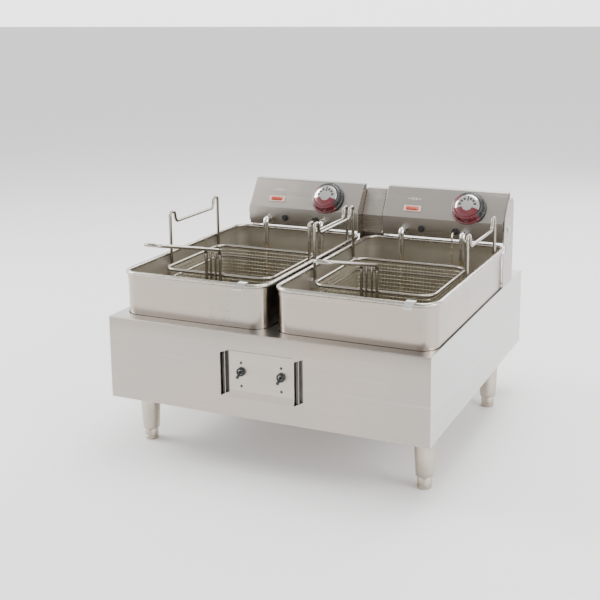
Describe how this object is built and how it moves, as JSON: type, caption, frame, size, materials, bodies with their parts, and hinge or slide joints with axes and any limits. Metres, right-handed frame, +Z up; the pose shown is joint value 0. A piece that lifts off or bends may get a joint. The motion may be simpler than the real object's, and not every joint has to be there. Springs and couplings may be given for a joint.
{
  "type": "twin counter-top deep fryer",
  "caption": "Counter-top electric twin deep fryer: square steel cabinet on legs, rounded pots with wire baskets, rear swing-up control heads with heating elements.",
  "frame": {"origin": "on the floor plane, under the middle of the whole object with the basket handles", "axes": "+Z up, +Y towards the back (control heads), +X towards the right side"},
  "size_m": [0.6114, 0.7308, 0.437],
  "materials": {
    "brushed_panel": "brushed stainless sheet, fine horizontal grain",
    "pot_steel": "drawn stainless, satin outside, oil-warmed inside",
    "bright_wire": "nickel-plated wire, bright",
    "element_sheath": "bright tubular heater sheath with heat tint",
    "cast_leg": "satin cast metal leg",
    "black_plastic": "black moulded plastic",
    "lens_red": "orange-red translucent lens",
    "bezel_pale": "pale pink moulded bezel",
    "dial_face": "polished dial with dark red lower band",
    "zinc_steel": "zinc-plated steel",
    "white_ceramic": "pale moulded insulator"
  },
  "bodies": {
    "root": {"bottom_pan": "zinc_steel", "cable_gland": "black_plastic", "centre_post": "brushed_panel", "contactors": "black_plastic", "deck": "brushed_panel", "front_panel": "brushed_panel", "hinge_cheeks": "brushed_panel", "hinge_pins": "zinc_steel", "left_pot": "pot_steel", "left_pot_rails": "bright_wire", "left_side_panel": "brushed_panel", "leg_sockets": "cast_leg", "panel_screws": "zinc_steel", "pot_supports": "zinc_steel", "pot_tabs": "pot_steel", "rail_clips": "zinc_steel", "rear_panel": "brushed_panel", "right_pot": "pot_steel", "right_pot_rails": "bright_wire", "right_side_panel": "brushed_panel", "switch_bodies": "black_plastic", "switch_bracket": "brushed_panel", "switch_nuts": "black_plastic", "terminal_block": "white_ceramic"},
    "left_head": {"left_head_housing": "brushed_panel", "left_head_rear_cover": "brushed_panel", "left_element": "element_sheath", "left_element_glands": "zinc_steel", "left_element_guard": "element_sheath", "left_sensor": "element_sheath", "left_thermostat": "zinc_steel", "left_hi_limit": "black_plastic", "left_pilot_bezel": "bezel_pale", "left_pilot_lens": "lens_red"},
    "left_basket": {"left_basket_frame": "bright_wire", "left_basket_mesh": "bright_wire", "left_basket_handle": "bright_wire"},
    "left_dial": {"left_dial": "dial_face"},
    "left_reset": {"left_reset_button": "black_plastic"},
    "left_toggle": {"left_toggle": "black_plastic"},
    "right_head": {"right_head_housing": "brushed_panel", "right_head_rear_cover": "brushed_panel", "right_element": "element_sheath", "right_element_glands": "zinc_steel", "right_element_guard": "element_sheath", "right_sensor": "element_sheath", "right_thermostat": "zinc_steel", "right_hi_limit": "black_plastic", "right_pilot_bezel": "bezel_pale", "right_pilot_lens": "lens_red"},
    "right_basket": {"right_basket_frame": "bright_wire", "right_basket_mesh": "bright_wire", "right_basket_handle": "bright_wire"},
    "right_dial": {"right_dial": "dial_face"},
    "right_reset": {"right_reset_button": "black_plastic"},
    "right_toggle": {"right_toggle": "black_plastic"},
    "front_left_foot": {"front_left_foot": "cast_leg"},
    "front_right_foot": {"front_right_foot": "cast_leg"},
    "rear_left_foot": {"rear_left_foot": "cast_leg"},
    "rear_right_foot": {"rear_right_foot": "cast_leg"}
  },
  "joints": [
    {"name": "left_head_swing", "type": "hinge", "parent": "root", "child": "left_head", "pos_m": [-0.1484, 0.2226, 0.368], "axis": [-1, 0, 0], "range_deg": [0, 80]},
    {"name": "left_basket_lift", "type": "slide", "parent": "left_head", "child": "left_basket", "axis": [0, 0, 1], "range_m": [0, 0.26]},
    {"name": "left_dial_turn", "type": "hinge", "parent": "left_head", "child": "left_dial", "pos_m": [-0.0814, 0.22167, 0.4044], "axis": [0, 0.8297, -0.5582], "range_deg": [0, 270]},
    {"name": "left_reset_press", "type": "slide", "parent": "left_head", "child": "left_reset", "axis": [0, 1, 0], "range_m": [0, 0.003], "stiffness_N_per_m": 600, "springref_m": -0.002},
    {"name": "left_toggle_throw", "type": "hinge", "parent": "root", "child": "left_toggle", "pos_m": [-0.0374, -0.2681, 0.188], "axis": [-1, 0, 0], "range_deg": [0, 56]},
    {"name": "right_head_swing", "type": "hinge", "parent": "root", "child": "right_head", "pos_m": [0.1566, 0.2226, 0.368], "axis": [-1, 0, 0], "range_deg": [0, 80]},
    {"name": "right_basket_lift", "type": "slide", "parent": "right_head", "child": "right_basket", "axis": [0, 0, 1], "range_m": [0, 0.26]},
    {"name": "right_dial_turn", "type": "hinge", "parent": "right_head", "child": "right_dial", "pos_m": [0.2236, 0.22167, 0.4044], "axis": [0, 0.8297, -0.5582], "range_deg": [0, 270]},
    {"name": "right_reset_press", "type": "slide", "parent": "right_head", "child": "right_reset", "axis": [0, 1, 0], "range_m": [0, 0.003], "stiffness_N_per_m": 600, "springref_m": -0.002},
    {"name": "right_toggle_throw", "type": "hinge", "parent": "root", "child": "right_toggle", "pos_m": [0.0391, -0.2681, 0.188], "axis": [-1, 0, 0], "range_deg": [0, 56]},
    {"name": "front_left_foot_screw_out", "type": "slide", "parent": "root", "child": "front_left_foot", "axis": [0, 0, -1], "range_m": [0, 0.02]},
    {"name": "front_right_foot_screw_out", "type": "slide", "parent": "root", "child": "front_right_foot", "axis": [0, 0, -1], "range_m": [0, 0.02]},
    {"name": "rear_left_foot_screw_out", "type": "slide", "parent": "root", "child": "rear_left_foot", "axis": [0, 0, -1], "range_m": [0, 0.02]},
    {"name": "rear_right_foot_screw_out", "type": "slide", "parent": "root", "child": "rear_right_foot", "axis": [0, 0, -1], "range_m": [0, 0.02]}
  ]
}
